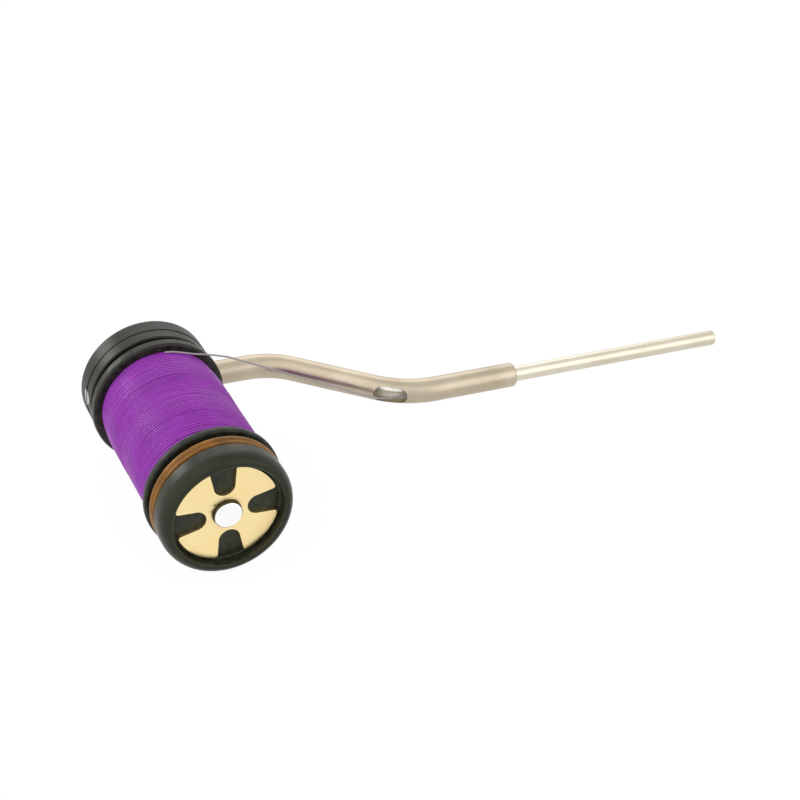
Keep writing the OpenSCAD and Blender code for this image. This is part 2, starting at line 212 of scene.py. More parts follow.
class Finish(Net):
    """A material round one Principled shader, whose fixed values are named with underscores."""

    def __init__(self, name, **fixed):
        self.material = bpy.data.materials.new(name)
        self.material.use_nodes = True
        super().__init__(self.material.node_tree)
        self.shader = next(n for n in self.tree.nodes if n.type == "BSDF_PRINCIPLED")
        for key, value in fixed.items():
            self.set(key.replace("_", " "), value)
        self.spot = self.node("ShaderNodeTexCoord", out="Object")

    def set(self, name, value):
        self.feed(self.shader.inputs[name], value)

    def noise(self, per_mm, detail=2.0, stretch=None, rough=0.5):
        """Noise with per_mm features in a millimetre, stretched by a scale on each axis."""
        spot = self.spot
        if stretch:
            spot = self.node("ShaderNodeMapping", {"Vector": spot, "Scale": stretch})
        return self.node("ShaderNodeTexNoise", {
            "Vector": spot, "Scale": per_mm / MM, "Detail": detail, "Roughness": rough})

    def turning_marks(self):
        """Fine marks that a lathe leaves round the axle."""
        return self.noise(4.0, 2, stretch=(1.0, 0.3, 1.0))

    def attribute(self, name):
        return self.node("ShaderNodeAttribute", out="Fac", attribute_name=name)

    def bump(self, height, strength, depth_mm):
        return self.node("ShaderNodeBump", {
            "Height": height, "Strength": strength, "Distance": depth_mm * MM})


def moulded_plastic(name, dark, light, roughness):
    """Satin moulded plastic: faint mottling, a fine grain, and edges rubbed a little paler."""
    f = Finish(name, Specular_IOR_Level=0.24)
    mottle = f.noise(0.9, 5, rough=0.65).spread(0.2, 0.8)
    grain = f.noise(7.0, 3)
    worn = (f.attribute("edge") * f.noise(0.9, 3).spread(0.3, 0.7)).clamp()
    base = f.mix(mottle, tone(dark), tone(light))
    f.set("Base Color", f.mix(worn * 0.3, base, tone("5c5e52")))
    f.set("Roughness", (roughness + (grain - 0.5) * 0.12 - worn * 0.05).clamp())
    f.set("Normal", f.bump(grain, 0.15, 0.02))
    return f.material


def brass_finish():
    """Satin brass sheet: brush marks, soft clouds and a few tarnish spots."""
    f = Finish("satin_brass", Metallic=1.0)
    brush = f.noise(1.6, 3, stretch=(1.0, 1.0, 9.0))
    cloud = f.noise(0.25, 3).spread(0.3, 0.7)
    spots = f.noise(1.1, 3).spread(0.62, 0.8)
    base = f.mix(cloud, tone("ffe4a6"), tone("ffebb2"))
    f.set("Base Color", f.mix(spots * 0.2, base, tone("c9a35c")))
    f.set("Roughness", (0.36 + (brush - 0.5) * 0.22).clamp())
    f.set("Normal", f.bump(brush, 0.12, 0.02))
    return f.material


def nickel_finish(name, dark, light, roughness):
    """Warm satin nickel on drawn tube: long draw marks, soft clouds, a few rubbed scratches."""
    f = Finish(name, Metallic=1.0)
    draw = f.noise(3.0, 3, stretch=(0.06, 1.0, 1.0))
    cloud = f.noise(0.12, 3).spread(0.3, 0.7)
    scratch = f.noise(1.4, 4, stretch=(0.15, 1.0, 1.0)).spread(0.62, 0.74)
    base = f.mix(cloud, tone(dark), tone(light))
    f.set("Base Color", f.mix(scratch * 0.18, base, tone("8d8270")))
    f.set("Roughness", (roughness + (draw - 0.5) * 0.16 + scratch * 0.12).clamp())
    f.set("Normal", f.bump(draw, 0.05, 0.02))
    return f.material


def painted_light_bore_finish():
    """Inside of the tubes: near-white plating, much paler than their outside, whose tone is painted
    light in the slot.
    """
    f = Finish("bright_bore", Metallic=0.6)
    cloud = f.noise(0.5, 3).spread(0.3, 0.7)
    f.set("Base Color", f.mix(cloud, tone("fdf6e8"), tone("fffdf8")))
    f.set("Roughness", (0.26 + (f.noise(2.0, 2) - 0.5) * 0.1).clamp())
    return f.material


def steel_finish(name, base, roughness):
    """Turned steel with paler clouds."""
    f = Finish(name, Metallic=1.0)
    turned = f.turning_marks()
    cloud = f.noise(0.6, 3).spread(0.35, 0.7)
    f.set("Base Color", f.mix(cloud * 0.5, tone(base), tone("ffffff")))
    f.set("Roughness", (roughness + (turned - 0.5) * 0.12).clamp())
    f.set("Normal", f.bump(turned, 0.08, 0.01))
    return f.material


GROUND_DEPTH = 0.09
GROUND_FADE = 0.03


def axle_finish():
    """Steel rod whose end is ground flat and polished; its side and chamfer take a dark tone that is
    painted shade round the pale end.
    """
    f = Finish("ground_axle", Metallic=1.0)
    end = axle_middle.y + (axle_front + GROUND_DEPTH) * MM
    side = f.node("ShaderNodeSeparateXYZ", {0: f.spot}, out="Y").spread(end, end + GROUND_FADE * MM)
    turned = f.turning_marks()
    ground = f.mix(f.noise(0.6, 3).spread(0.35, 0.7), tone("fafaf8"), tone("ffffff"))
    # Dark tone 4c4a40 on the side and chamfer: painted shade round the ground end
    f.set("Base Color", f.mix(side, ground, tone("4c4a40")))
    f.set("Roughness", (0.16 + side * 0.14 + (turned - 0.5) * 0.12).clamp())
    f.set("Normal", f.bump(turned, 0.08, 0.01))
    return f.material


def thread_finish(name, dark, light, pale):
    """Tying thread: fine fibres, a soft waxed sheen, small tone changes along the strands."""
    f = Finish(name, Sheen_Weight=0.04, Sheen_Roughness=0.4, Specular_IOR_Level=0.55)
    cloud = f.noise(0.3, 3).spread(0.3, 0.7)
    streak = f.noise(2.4, 3, stretch=(0.1, 1.0, 0.1)).spread(0.35, 0.7)
    fibre = f.noise(9.0, 2)
    base = f.mix((cloud + streak) * 0.5, tone(dark), tone(light))
    f.set("Base Color", f.mix(fibre.spread(0.35, 0.7) * 0.3, base, tone(pale)))
    f.set("Roughness", (0.36 + (fibre - 0.5) * 0.2).clamp())
    f.set("Normal", f.bump(fibre, 0.3, 0.02))
    return f.material


def amber_finish():
    """Amber rubber: cloudy tones under a thin gloss."""
    f = Finish("amber_rubber", Coat_Weight=0.12, Coat_Roughness=0.25, Specular_IOR_Level=0.3)
    cloud = f.noise(0.3, 3).spread(0.3, 0.7)
    f.set("Base Color", f.mix(cloud, tone("805004"), tone("a86e0a")))
    f.set("Roughness", (0.34 + (f.noise(3.0, 2) - 0.5) * 0.12).clamp())
    f.set("Normal", f.bump(f.noise(2.0, 2), 0.1, 0.02))
    return f.material


def felt_finish():
    """Black pressed felt."""
    f = Finish("black_felt", Sheen_Weight=0.3)
    fuzz = f.noise(6.0, 4, rough=0.7)
    f.set("Base Color", f.mix(fuzz.spread(0.3, 0.7), tone("0c0b0a"), tone("23211e")))
    f.set("Roughness", (0.9 + (fuzz - 0.5) * 0.1).clamp())
    f.set("Normal", f.bump(fuzz, 0.6, 0.08))
    return f.material


FINISHES = {
    "knob": moulded_plastic("knob_plastic", "27291a", "323422", 0.34),
    "spool": moulded_plastic("spool_plastic", "1b1c14", "23241a", 0.4),
    "housing": moulded_plastic("housing_plastic", "24261c", "2d2f24", 0.38),
    "bush": moulded_plastic("natural_nylon", "d8d4c6", "e8e5da", 0.5),
    "brass": brass_finish(),
    "arm": nickel_finish("satin_nickel", "b0a38e", "c4b8a3", 0.36),
    "nozzle": nickel_finish("bright_nickel", "ccc4b0", "dad3c2", 0.3),
    # bore: the tubes' inner wall, painted paler than the outside as painted light in the slot
    "bore": painted_light_bore_finish(),
    "axle": axle_finish(),
    "screw": steel_finish("bright_steel", "8f8f88", 0.3),
    "fastener": steel_finish("plain_steel", "a9a9a4", 0.35),
    "black_steel": moulded_plastic("blackened_steel", "141412", "1f1e1b", 0.45),
    "thread": thread_finish("waxed_thread", "8a09a4", "b41ccf", "cc4eea"),
    "fine_thread": thread_finish("fine_thread", "b3abac", "c1babb", "cfcac8"),
    "amber": amber_finish(),
    "felt": felt_finish(),
}
NODE_FINISH = {
    "front_bush": "bush", "rear_bush": "bush", "axle_nut": "fastener", "lock_washer": "fastener",
    "spring_seat": "fastener", "disc_springs": "fastener", "arm_pin": "fastener",
    "felt_washer": "felt", "pressure_washer": "black_steel", "amber_ring": "amber",
    "housing_body": "housing", "rear_cover": "housing", "clamp_screw": "screw", "axle": "axle",
    "spool": "spool", "thread_core": "thread", "thread_outer_layer": "thread",
    "thread_run": "thread", "front_knob": "knob", "brass_plate": "brass", "arm_tube": "arm",
    "nozzle_tube": "nozzle",
}


def dress(obj, finish, inside=None):
    """Puts the finish in the first slot and, where one is named, the inner wall's in the second."""
    slots = obj.data.materials
    for i, name in enumerate(n for n in (finish, inside) if n):
        if i < len(slots):
            slots[i] = FINISHES[name]
        else:
            slots.append(FINISHES[name])
    return obj


for node_name, finish_name in NODE_FINISH.items():
    dress(frame["nodes"][node_name], finish_name)


def finish_piece(obj, finish, body, node, inside=None):
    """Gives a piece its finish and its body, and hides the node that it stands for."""
    dress(obj, finish, inside)
    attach(obj, body)
    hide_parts(node)
    return obj


# Mesh building: angles in degrees for a step of an arc and for a corner too flat to round
ARC_STEP = 9.0
FEWEST_STEPS = 3
STRAIGHT = 178
FLAT_WEIGHT = 90
# Distances in metres within which points are merged and edges dropped
SAME_PLACE = 1e-7
SHORTEST_EDGE = 1e-8
CUT_MERGE = 2e-6


def weigh_normals(obj):
    """Flat stretches keep their shading flat beside the rounded edges."""
    modifier = obj.modifiers.new("weighted_normals", "WEIGHTED_NORMAL")
    modifier.keep_sharp = True
    modifier.weight = FLAT_WEIGHT
    return obj


def rounded(corners):
    """Points of a closed outline whose corners (a, b, r) are rounded by r: [(a, b, on_arc), ...]."""
    points = []
    for i, (a, b, r) in enumerate(corners):
        here = Vector((a, b))
        to_last = Vector(corners[i - 1][:2]) - here
        to_next = Vector(corners[(i + 1) % len(corners)][:2]) - here
        u = to_last.normalized()
        v = to_next.normalized()
        opening = math.acos(max(-1, min(1, u.dot(v))))
        if r <= 0 or opening > math.radians(STRAIGHT):
            points.append((here.x, here.y, 0.0))
            continue
        back_off = min(r / math.tan(opening / 2), to_last.length / 2, to_next.length / 2)
        r = back_off * math.tan(opening / 2)
        middle = here + (u + v).normalized() * (r / math.sin(opening / 2))
        start = here + u * back_off - middle
        end = here + v * back_off - middle
        sweep = math.atan2(start.x * end.y - start.y * end.x, start.dot(end))
        steps = max(FEWEST_STEPS, int(abs(math.degrees(sweep)) / ARC_STEP))
        for k in range(steps + 1):
            c, s = math.cos(sweep * k / steps), math.sin(sweep * k / steps)
            p = middle + Vector((start.x * c - start.y * s, start.x * s + start.y * c))
            points.append((p.x, p.y, 1.0))
    return points


def smooth_faces(bm):
    """Merges doubled points and tiny edges, turns the faces outwards and shades them smooth."""
    bmesh.ops.remove_doubles(bm, verts=bm.verts, dist=SAME_PLACE)
    bmesh.ops.dissolve_degenerate(bm, edges=bm.edges, dist=SHORTEST_EDGE)
    bmesh.ops.recalc_face_normals(bm, faces=bm.faces)
    for face in bm.faces:
        face.smooth = True


def ring_mesh(name, rings, inside_from=None):
    """Skin over rings of points, the last joined to the first; the rings' shares are edge wear."""
    mesh = bpy.data.meshes.new(name)
    bm = bmesh.new()
    wear = bm.verts.layers.float.new("edge")
    made = []
    for points, share in rings:
        row = [bm.verts.new(p) for p in points]
        for vert in row:
            vert[wear] = share
        made.append(row)
    for i, a in enumerate(made):
        b = made[(i + 1) % len(made)]
        for k in range(len(a)):
            m = (k + 1) % len(a)
            face = bm.faces.new((a[k], a[m], b[m], b[k]))
            face.material_index = 1 if inside_from and inside_from <= i < len(made) - 1 else 0
    smooth_faces(bm)
    bm.to_mesh(mesh)
    bm.free()
    return mesh


def join_meshes(name, meshes):
    joined = bmesh.new()
    for mesh in meshes:
        joined.from_mesh(mesh)
    result = bpy.data.meshes.new(name)
    joined.to_mesh(result)
    joined.free()
    for polygon in result.polygons:
        polygon.use_smooth = True
    return result


def evaluated_mesh(obj):
    """The object's shape, with its modifiers and bevels, as a plain mesh."""
    graph = bpy.context.evaluated_depsgraph_get()
    return bpy.data.meshes.new_from_object(obj.evaluated_get(graph))


def circle(r, steps):
    """Points (a, b) of a circle about the origin."""
    return [(r * math.cos(TAU * k / steps), r * math.sin(TAU * k / steps)) for k in range(steps)]


LATHE_STEPS = 144
ROD_STEPS = 96
# A radius so small that the merge closes the end of a rod
ON_AXIS = 0.0001
# Roundings that the turned pieces share
TIGHT = 0.05
BROKEN = 0.1
EASED = 0.2


def turned_piece(name, corners, steps=LATHE_STEPS):
    """A body of revolution about the axle from corners (radius, y, rounding) in millimetres."""
    rings = [([place(x, y, z) for x, z in circle(r, steps)], on_arc)
             for r, y, on_arc in rounded(corners)]
    return weigh_normals(add_object(name, ring_mesh(name, rings)))


# Drag knob: a rounded front, a recess for the plate, and a hollow spigot that carries the ring
KNOB_BORE_R = 2.6
RECESS_GAP = 0.6
RECESS_ROUND = 0.3
LIP_IN = 0.35
LIP_DEEP = 0.2
SWEEP_DEEP = 2.3
SWEEP_STEPS = 12
SHOULDER_IN = 0.35
SHOULDER_DEEP = 0.5
SHOULDER_ROUND = 0.4
SHOULDER_REAR_ROUND = 0.25
SHOULDER_GAP = 0.02
SPIGOT_R = 9.48
HOLLOW_R = 8.2
FLOOR_T = 1


def make_knob():
    floor_front = plate_rear
    floor_rear = floor_front + FLOOR_T
    knob_rear = along("amber_ring")[0] - SHOULDER_GAP
    recess_r = plate_r + RECESS_GAP
    across = knob_r - recess_r - LIP_IN
    quarter = [math.radians(90 * k / SWEEP_STEPS) for k in range(SWEEP_STEPS + 1)]
    sweep = [(knob_r - across * (1 - math.sin(a)), knob_front + SWEEP_DEEP * (1 - math.cos(a)), 0)
             for a in quarter]
    return turned_piece("drag_knob", [
        (KNOB_BORE_R, floor_front, BROKEN),
        (recess_r, floor_front, RECESS_ROUND),
        (recess_r, knob_front + LIP_DEEP, EASED),
        *sweep,
        (knob_r, knob_rear - SHOULDER_DEEP, SHOULDER_ROUND),
        (knob_r - SHOULDER_IN, knob_rear, SHOULDER_REAR_ROUND),
        (SPIGOT_R, knob_rear, TIGHT),
        (SPIGOT_R, spigot_rear, BROKEN),
        (HOLLOW_R, spigot_rear, BROKEN),
        (HOLLOW_R, floor_rear, EASED),
        (KNOB_BORE_R, floor_rear, BROKEN)])


# Spool: a barrel between two flanges with round rims
SPOOL_BORE_R = 3.87
FRONT_FLANGE_T = 1.3
REAR_FLANGE_T = 1.85
FRONT_RIM = 0.4
REAR_RIM = 0.45


def make_spool():
    barrel_front = spool_front + FRONT_FLANGE_T
    barrel_rear = spool_rear - REAR_FLANGE_T
    return turned_piece("thread_spool", [
        (SPOOL_BORE_R, spool_front, BROKEN),
        (flange_r, spool_front, FRONT_RIM),
        (flange_r, barrel_front, FRONT_RIM),
        (BARREL_R, barrel_front, EASED),
        (BARREL_R, barrel_rear, EASED),
        (flange_r, barrel_rear, REAR_RIM),
        (flange_r, spool_rear, REAR_RIM),
        (SPOOL_BORE_R, spool_rear, BROKEN)])


# Axle: a rod with a collar behind the spool, its front end ground flat inside a small chamfer
AXLE_END_R = 2.12
CHAMFER_DEEP = 0.15
CHAMFER_ROUND = 0.12
COLLAR_R = 3.3
COLLAR_T = 1.1
COLLAR_GAP = 0.15


def make_axle():
    collar_front = spool_rear + COLLAR_GAP
    collar_rear = collar_front + COLLAR_T
    return turned_piece("axle_rod", [
        (ON_AXIS, axle_front, 0),
        (AXLE_END_R, axle_front, CHAMFER_ROUND),
        (AXLE_R, axle_front + CHAMFER_DEEP, CHAMFER_ROUND),
        (AXLE_R, collar_front, 0),
        (COLLAR_R, collar_front, BROKEN),
        (COLLAR_R, collar_rear, BROKEN),
        (AXLE_R, collar_rear, 0),
        (AXLE_R, axle_rear, EASED),
        (ON_AXIS, axle_rear, 0)], ROD_STEPS)


# Disc springs: two dished rings, rim to rim, that flatten as the knob is screwed in
SPRING_T = 0.4
SPRING_PLAY = 0.5
SPRING_OUT_R = 5.7
SPRING_APART = 0.04


def make_springs():
    inner = AXLE_R + SPRING_PLAY
    dish = (spring_rear - spring_front - SPRING_APART) / 2
    pair = []
    for start, way in ((spring_front, 1), (spring_rear, -1)):
        drawn = turned_piece("spring_ring", [
            (inner, start, 0),
            (inner, start + way * SPRING_T, BROKEN),
            (SPRING_OUT_R, start + way * dish, 0),
            (SPRING_OUT_R, start + way * (dish - SPRING_T), BROKEN)], ROD_STEPS)
        pair.append(drawn.data)
        bpy.data.objects.remove(drawn)
    return add_object("drag_springs", join_meshes("drag_springs", pair))


def flatten_springs(springs):
    """Reads the knob's travel and gives the springs a mesh of their own; their height is left as
    drawn.
    """
    travel = max(abs(limit) for joint in frame["record"]["behaviour"]["joints"]
                 if joint["name"] == "knob_advance" for limit in joint["range_m"]) / MM
    1 - travel / (spring_rear - spring_front)
    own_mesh(springs)


# Brass plate: one quarter of the outline, turned four times, with a bevelled edge
NOTCH_IN = 3.4
NOTCH_W = 3.5
NOTCH_MOUTH = 4.5
NOTCH_STEPS = 10
PLATE_TURN = math.radians(6)
PLATE_CORNER = 0.45
CORNER_STEPS = 8
RIM_STEPS = 16
PLATE_HOLE_GAP = 0.06
HOLE_STEPS = 72
BEVEL = 0.07


def plate_quarter():
    """The outline from the middle of one notch to the middle of the next, as points (x, y)."""
    half = NOTCH_W / 2
    centre = NOTCH_IN + half
    side_start = Vector((centre, half))
    side = (Vector((plate_r, NOTCH_MOUTH / 2)) - side_start).normalized()
    inward = Vector((-side.y, side.x))
    base = side_start + inward * PLATE_CORNER
    reach = plate_r - PLATE_CORNER
    b = base.dot(side)
    corner = base + side * (-b + math.sqrt(b * b - base.dot(base) + reach * reach))
    notch = [math.radians(180 - 90 * k / NOTCH_STEPS) for k in range(NOTCH_STEPS + 1)]
    points = [(centre + half * math.cos(a), half * math.sin(a)) for a in notch]
    first = math.atan2(-inward.y, -inward.x)
    last = math.atan2(corner.y, corner.x)
    turns = [first + (last - first) * k / CORNER_STEPS for k in range(CORNER_STEPS + 1)]
    points += [(corner.x + PLATE_CORNER * math.cos(a), corner.y + PLATE_CORNER * math.sin(a))
               for a in turns]
    rim = [last + (math.pi / 2 - last - last) * k / RIM_STEPS for k in range(1, RIM_STEPS)]
    mirrored = [(y, x) for x, y in reversed(points)]
    return points + [(plate_r * math.cos(a), plate_r * math.sin(a)) for a in rim] + mirrored[:-1]


def plate_curve():
    """The plate as a filled flat curve with a bevel, in millimetres."""
    outline = []
    for quarter in range(4):
        c = math.cos(quarter * math.pi / 2 + PLATE_TURN)
        s = math.sin(quarter * math.pi / 2 + PLATE_TURN)
        outline += [(x * c - y * s, x * s + y * c) for x, y in plate_quarter()]
    curve = bpy.data.curves.new("plate_outline", "CURVE")
    curve.dimensions = "2D"
    curve.fill_mode = "BOTH"
    for path in (outline, circle(AXLE_R + PLATE_HOLE_GAP, HOLE_STEPS)):
        spline = curve.splines.new("POLY")
        spline.points.add(len(path) - 1)
        for point, (x, y) in zip(spline.points, path):
            point.co = (x, y, 0, 1)
        spline.use_cyclic_u = True
    curve.extrude = (plate_rear - plate_front) / 2 - BEVEL
    curve.bevel_depth = BEVEL
    curve.bevel_resolution = 2
    curve.offset = -BEVEL
    return curve


def make_plate():
    drawn = add_object("plate_outline", plate_curve())
    mesh = evaluated_mesh(drawn)
    bpy.data.objects.remove(drawn)
    middle = (plate_front + plate_rear) / 2
    mesh.transform(holder_matrix @ Matrix.Scale(MM, 4) @ Matrix.Translation((0, middle, 0))
                   @ Matrix.Rotation(math.pi / 2, 4, "X"))
    bm = bmesh.new()
    bm.from_mesh(mesh)
    smooth_faces(bm)
    bm.to_mesh(mesh)
    bm.free()
    mesh.name = "notched_plate"
    return weigh_normals(add_object("notched_plate", mesh))


# Wound thread: strands laid across each other over a bed, a little thinner towards the flanges
END_SHARE = 0.965
FALL_SHARE = 0.22
BED_DEEP = 0.5
BED_GAP = 0.02
BED_STEPS = 24
END_WRAP = 0.04
STRAND_R = 0.27
STRAND_WANDER = 0.2
STRAND_POINTS = 300
STRAND_SIDES = 6
LIFT_SHARE = 0.7
# How fast the wander and the lift change along a strand
DRIFT_RATE = 14
LIFT_RATE = 9
# Steps in the noise from strand to strand and from layer to layer, and the lift's fixed seed
DRIFT_STEP = 3.7
LIFT_STEP = 5.3
PHASE_STEP = 9
LIFT_SEED = 4.0
# Layers from below: strands side by side, turns, phase, and how deep the strands' middles lie
LAYERS = [(10, -4.0, 0.0, 0.52), (11, 4.0, 0.37, 0.28)]


def wound_share(u):
    """Share of the full radius at u, which goes from 0 to 1 between the flanges."""
    edge = min(u, 1 - u) / FALL_SHARE
    return 1.0 if edge >= 1 else 1 - (1 - END_SHARE) * (1 - edge) ** 2


def make_under_layer():
    """The smooth bed of thread that shows between the strands."""
    core = WOUND_R - BED_DEEP
    length = wound_rear - wound_front
    corners = [(BARREL_R + BED_GAP, wound_rear, 0), (BARREL_R + BED_GAP, wound_front, 0)]
    corners += [(core * wound_share(k / BED_STEPS), wound_front + length * k / BED_STEPS, 0)
                for k in range(BED_STEPS + 1)]
    return turned_piece("thread_bed", corners)


def winding_tree():
    """Strands that cross the spool in a shallow helix and end wrapped along the flanges."""
    tree = bpy.data.node_groups.new("cross_winding", "GeometryNodeTree")
    sockets = {"Geometry": "Geometry", "Starts": "Int", "Turns": "Float", "Points": "Int",
               "Length": "Float", "Radius": "Float", "Strand": "Float", "Wander": "Float",
               "Phase": "Float", "End share": "Float", "Fall share": "Float"}
    for name, kind in sockets.items():
        tree.interface.new_socket(name, in_out="INPUT", socket_type="NodeSocket" + kind)
    tree.interface.new_socket("Geometry", in_out="OUTPUT", socket_type="NodeSocketGeometry")
    net = Net(tree)
    entry = net.node("NodeGroupInput")
    given = {name: entry.beside(name) for name in sockets}
    line = net.node("GeometryNodeCurvePrimitiveLine")
    line = net.node("GeometryNodeResampleCurve", {"Curve": line, "Count": given["Points"]})
    copies = net.node("GeometryNodeDuplicateElements", {
        "Geometry": line, "Amount": given["Starts"]}, out="Geometry", domain="SPLINE")
    start = copies.beside("Duplicate Index")
    run = net.node("GeometryNodeSplineParameter", out="Factor")
    angle = (run * given["Turns"] + start / given["Starts"] + given["Phase"]) * TAU
    u = (run * (1 + 2 * END_WRAP) - END_WRAP).clamp()
    edge = (u.math("MINIMUM", 1 - u) / given["Fall share"]).clamp()
    share = 1 - (1 - given["End share"]) * (1 - edge) * (1 - edge)
    drift_spot = net.node("ShaderNodeCombineXYZ", {
        "X": u * DRIFT_RATE, "Y": start * DRIFT_STEP, "Z": given["Phase"] * PHASE_STEP})
    drift = net.node("ShaderNodeTexNoise", {"Vector": drift_spot, "Scale": 1.0, "Detail": 2.0}) - 0.5
    lift_spot = net.node("ShaderNodeCombineXYZ", {
        "X": u * LIFT_RATE, "Y": start * LIFT_STEP, "Z": LIFT_SEED})
    lift = net.node("ShaderNodeTexNoise", {"Vector": lift_spot, "Scale": 1.0, "Detail": 1.0}) - 0.5
    r = given["Radius"] * share + lift * given["Strand"] * LIFT_SHARE
    inside = given["Length"] - given["Strand"] * 2
    y = given["Strand"] + u * inside + drift * given["Wander"] * edge
    spot = net.node("ShaderNodeCombineXYZ", {
        "X": r * angle.math("COSINE"), "Y": y, "Z": r * angle.math("SINE")})
    moved = net.node("GeometryNodeSetPosition", {"Geometry": copies, "Position": spot})
    section = net.node("GeometryNodeCurvePrimitiveCircle", {
        "Resolution": STRAND_SIDES, "Radius": given["Strand"]})
    skin = net.node("GeometryNodeCurveToMesh", {
        "Curve": moved, "Profile Curve": section, "Fill Caps": True})
    smooth = net.node("GeometryNodeSetShadeSmooth", {"Geometry": skin})
    real = net.node("GeometryNodeRealizeInstances", {"Geometry": smooth})
    done = net.node("GeometryNodeSetMaterial", {"Geometry": real, "Material": FINISHES["thread"]})
    net.node("NodeGroupOutput", {"Geometry": done})
    return tree


def strands(tree, **values):
    """The tree's strands for one set of named inputs, as a mesh about the origin."""
    drawn = add_object("strands", bpy.data.meshes.new("strands"))
    modifier = drawn.modifiers.new("winding", "NODES")
    modifier.node_group = tree
    names = {item.name: item.identifier for item in tree.interface.items_tree
             if item.item_type == "SOCKET" and item.in_out == "INPUT"}
    for name, value in values.items():
        modifier[names[name.replace("_", " ")]] = value
    mesh = evaluated_mesh(drawn)
    bpy.data.objects.remove(drawn)
    return mesh


def make_winding():
    tree = winding_tree()
    common = {"Length": (wound_rear - wound_front) * MM, "Strand": STRAND_R * MM,
              "Wander": STRAND_WANDER * MM, "Points": STRAND_POINTS,
              "End_share": END_SHARE, "Fall_share": FALL_SHARE}
    layers = [strands(tree, Starts=starts, Turns=turns, Phase=phase, Radius=(WOUND_R - deep) * MM,
                      **common) for starts, turns, phase, deep in LAYERS]
    mesh = join_meshes("wound_thread", layers)
    mesh.transform(holder_matrix @ Matrix.Translation((0, wound_front * MM, 0)))
    return add_object("wound_thread", mesh)


# Arm: one tube along its centre line, the slot cut in the second bend
ARM_ROOT = 5.2
ARM_STRAIGHT = 15.0
ARM_Y = 17.95
ARM_R = 2.1
ARM_WALL = 0.75
ARM_END_ROUND = 0.45
BEND = math.radians(41)
BEND_STEPS = 20
FIRST_CORNER = 21.8
FIRST_R = 11.5
SECOND_R = 15.0
SLOT_LEN = 5.8
SLOT_W = 3.1
SLOT_SHARE = 0.71
SLOT_STEPS = 15
CUT_OVER = 0.8
SHARP = math.radians(38)
SLOT_SOFT = 0.07
TUBE_STEPS = 64
EDGE_STEPS = 6

# Nozzle: a thinner tube let into the arm's end
NOZZLE_Y = 2.0
NOZZLE_R = 1.325
NOZZLE_LET_IN = 10.8
NOZZLE_END_ROUND = 0.22
NOZZLE_STEPS = 48
NOZZLE_SPANS = 3
FIRST_RING_IN = 1.0

half_turn = math.tan(BEND / 2)
second_corner = FIRST_CORNER + (ARM_Y - NOZZLE_Y) / math.tan(BEND)
bend1_x = FIRST_CORNER - FIRST_R * half_turn
bend2_x = second_corner + SECOND_R * half_turn
arm_end = bend2_x + ARM_STRAIGHT


def arm_line():
    """Centre line points (x, y) and headings, with both bends as arcs."""
    shares = [k / BEND_STEPS for k in range(BEND_STEPS + 1)]
    first = [(bend1_x + FIRST_R * math.sin(a), ARM_Y - FIRST_R * (1 - math.cos(a)), -a)
             for a in [BEND * share for share in shares]]
    second = [(bend2_x - SECOND_R * math.sin(a), NOZZLE_Y + SECOND_R * (1 - math.cos(a)), -a)
              for a in [BEND * (1 - share) for share in shares]]
    return [(ARM_ROOT, ARM_Y, 0.0), *first, *second, (arm_end, NOZZLE_Y, 0.0)]


def tube_ring(x, y, heading, r, steps):
    """Points of a circle square to the heading at (x, y)."""
    across = Vector((-math.sin(heading), math.cos(heading), 0))
    return [place(*(Vector((x, y, 0)) + across * u + Vector((0, 0, v))))
            for u, v in circle(r, steps)]


def tube_piece(name, line, outer, inner, end_round, steps):
    """A closed tube shell along a line, with rounded outer edges at both ends."""
    quarter = [math.radians(90 * k / EDGE_STEPS) for k in range(EDGE_STEPS + 1)]
    edge = [(end_round * (1 - math.cos(a)), outer - end_round * (1 - math.sin(a))) for a in quarter]
    x0, y0, h0 = line[0]
    x1, y1, h1 = line[-1]
    rings = [(tube_ring(x0 + back, y0, h0, r, steps), 1.0) for back, r in edge]
    rings += [(tube_ring(x, y, heading, outer, steps), 0.0) for x, y, heading in line[1:-1]]
    rings += [(tube_ring(x1 - back, y1, h1, r, steps), 1.0) for back, r in reversed(edge)]
    outer_rings = len(rings)
    rings += [(tube_ring(x, y, heading, inner, steps), 0.0) for x, y, heading in reversed(line)]
    return add_object(name, ring_mesh(name, rings, inside_from=outer_rings))


def slot_cutter():
    """A round-ended prism that opens the outside of the second bend."""
    angle = BEND * SLOT_SHARE
    middle = Vector((bend2_x - SECOND_R * math.sin(angle),
                     NOZZLE_Y + SECOND_R * (1 - math.cos(angle)), 0))
    half = SLOT_W / 2
    run = (SLOT_LEN - SLOT_W) / 2
    end = [math.radians(180 * k / SLOT_STEPS - 90) for k in range(SLOT_STEPS + 1)]
    outline = [(run + half * math.cos(a), half * math.sin(a)) for a in end]
    outline += [(-u, -v) for u, v in outline]
    ahead = Vector((math.cos(angle), -math.sin(angle), 0))
    outward = Vector((-math.sin(angle), -math.cos(angle), 0))
    bm = bmesh.new()
    rows = [[bm.verts.new(place(*(middle + ahead * u + Vector((0, 0, v)) + outward * depth)))
             for u, v in outline] for depth in (0.0, ARM_R + CUT_OVER)]
    for k in range(len(outline)):
        m = (k + 1) % len(outline)
        bm.faces.new((rows[0][k], rows[0][m], rows[1][m], rows[1][k]))
    for row in rows:
        bm.faces.new(row)
    bmesh.ops.recalc_face_normals(bm, faces=bm.faces)
    mesh = bpy.data.meshes.new("slot_cutter")
    bm.to_mesh(mesh)
    bm.free()
    return add_object("slot_cutter", mesh)


def cut(obj, cutter):
    """Takes the cutter's shape out of the object's mesh, and removes the cutter."""
    modifier = obj.modifiers.new("cut", "BOOLEAN")
    modifier.operation = "DIFFERENCE"
    modifier.object = cutter
    modifier.solver = "EXACT"
    mesh = evaluated_mesh(obj)
    mesh.name = obj.name
    obj.modifiers.remove(modifier)
    obj.data = mesh
    bpy.data.objects.remove(cutter)


